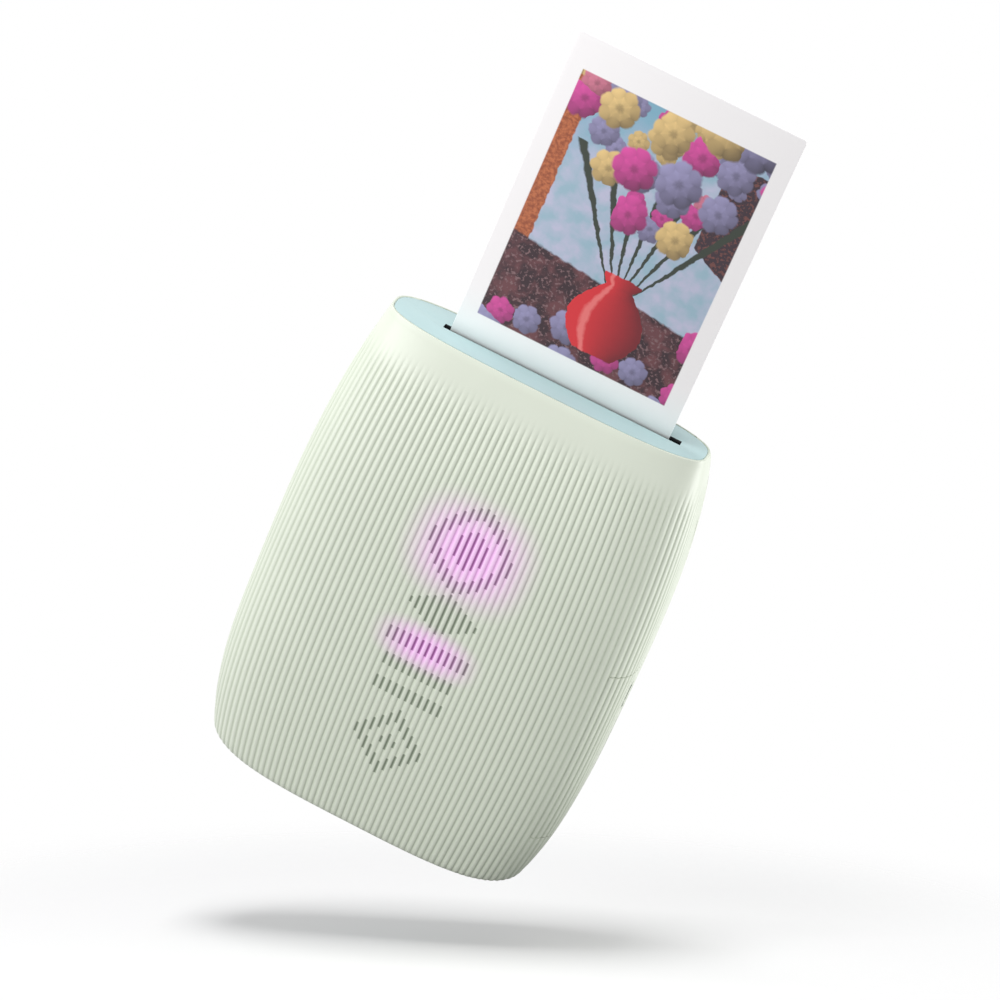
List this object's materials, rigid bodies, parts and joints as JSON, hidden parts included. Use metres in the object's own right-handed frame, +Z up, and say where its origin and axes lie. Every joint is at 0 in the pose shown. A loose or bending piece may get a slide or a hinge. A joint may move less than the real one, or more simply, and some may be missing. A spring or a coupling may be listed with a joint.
{
  "type": "compact photo printer",
  "caption": "Pocket photo printer: a ribbed barrel-shaped case with a sheet standing in its exit slot, a hinged film door at the back and a film drive inside.",
  "frame": {"origin": "centre of the flat base", "axes": "+Z up along the casing towards the exit slot, front towards -Y, power button on +X"},
  "size_m": [0.0902, 0.0373, 0.201],
  "materials": {
    "casing": "satin moulded plastic with fine flutes",
    "aqua": "satin moulded plastic",
    "black_plastic": "matte moulded plastic",
    "button": "satin",
    "foam": "matte foam",
    "spring_steel": "bright rolled",
    "inlet_steel": "bright",
    "screw_steel": "blackened",
    "circuit": "satin",
    "light_board": "satin",
    "chip": "matte",
    "led": "gloss",
    "diffuser": "frosted",
    "lens": "clear",
    "flex": "satin",
    "battery_foil": "satin foil",
    "film": "gloss",
    "gear_plastic": "satin",
    "bush_brass": "turned",
    "motor_steel": "drawn"
  },
  "bodies": {
    "printer": {"front_cover": "casing", "rear_cover": "casing", "side_panel": "casing", "exit_plate": "aqua", "base_plate": "aqua", "chassis": "black_plastic", "hinge_pins": "spring_steel", "button_board": "circuit", "button_switch": "chip", "usb_inlet": "inlet_steel", "usb_board": "circuit", "battery": "battery_foil", "main_board": "circuit", "board_parts": "chip", "flex_cable": "flex", "led_board": "light_board", "leds": "led", "light_guide": "diffuser", "print_head": "black_plastic", "head_lens": "lens", "head_board": "circuit", "film_pack": "black_plastic", "pack_plate": "spring_steel", "film_stack": "film", "pinch_springs": "spring_steel", "roller_bushes": "bush_brass", "gear_shafts": "spring_steel", "drive_motor": "motor_steel", "gear_plate": "spring_steel", "case_screws": "screw_steel", "frame_screws": "screw_steel", "board_screws": "screw_steel"},
    "film_door": {"film_door": "casing", "door_liner": "black_plastic", "door_seal": "foam", "pressure_springs": "spring_steel"},
    "door_latch": {"door_latch": "aqua"},
    "power_button": {"power_button": "button"},
    "drive_roller": {"drive_roller": "spring_steel", "roller_gear": "gear_plastic"},
    "pinch_roller": {"pinch_roller": "spring_steel"},
    "idler_gear": {"idler_gear": "gear_plastic"},
    "reduction_gear": {"reduction_gear": "gear_plastic"},
    "motor_pinion": {"motor_pinion": "bush_brass"},
    "pick_claw": {"pick_claw": "spring_steel"},
    "print_sheet": {"print_sheet": "film"}
  },
  "joints": [
    {"name": "door_hinge", "type": "hinge", "parent": "printer", "child": "film_door", "pos_m": [0, 0.01437, 0.011], "axis": [-1, 0, 0], "range_deg": [0, 95]},
    {"name": "latch_slide", "type": "slide", "parent": "film_door", "child": "door_latch", "axis": [0, 0.2038, -0.979], "range_m": [0, 0.003]},
    {"name": "button_press", "type": "slide", "parent": "printer", "child": "power_button", "axis": [-1, 0, 0], "range_m": [0, 0.0005], "stiffness_N_per_m": 2000},
    {"name": "roller_spin", "type": "hinge", "parent": "printer", "child": "drive_roller", "pos_m": [0.0029, -0.00089, 0.11739], "axis": [-1, 0, 0], "continuous": true},
    {"name": "pinch_spin", "type": "hinge", "parent": "printer", "child": "pinch_roller", "pos_m": [0.0029, -0.0067, 0.11762], "axis": [-1, 0, 0], "continuous": true},
    {"name": "idler_spin", "type": "hinge", "parent": "printer", "child": "idler_gear", "pos_m": [0.0029, -0.00417, 0.10794], "axis": [-1, 0, 0], "continuous": true},
    {"name": "reduction_spin", "type": "hinge", "parent": "printer", "child": "reduction_gear", "pos_m": [0.0029, 0.00415, 0.1045], "axis": [-1, 0, 0], "continuous": true},
    {"name": "motor_spin", "type": "hinge", "parent": "printer", "child": "motor_pinion", "pos_m": [0.0029, 0.00505, 0.11346], "axis": [-1, 0, 0], "continuous": true},
    {"name": "claw_slide", "type": "slide", "parent": "printer", "child": "pick_claw", "axis": [0, 0.0393, 0.9992], "range_m": [0, 0.007], "stiffness_N_per_m": 20},
    {"name": "print_slide", "type": "slide", "parent": "printer", "child": "print_sheet", "axis": [0, 0.0393, 0.9992], "range_m": [-0.0946, 0]}
  ],
  "couplings": [
    {"joint": "pinch_spin", "follows": "roller_spin", "ratio": -1},
    {"joint": "idler_spin", "follows": "roller_spin", "ratio": -0.66667},
    {"joint": "reduction_spin", "follows": "roller_spin", "ratio": 1.3333},
    {"joint": "motor_spin", "follows": "roller_spin", "ratio": -2.6667}
  ]
}
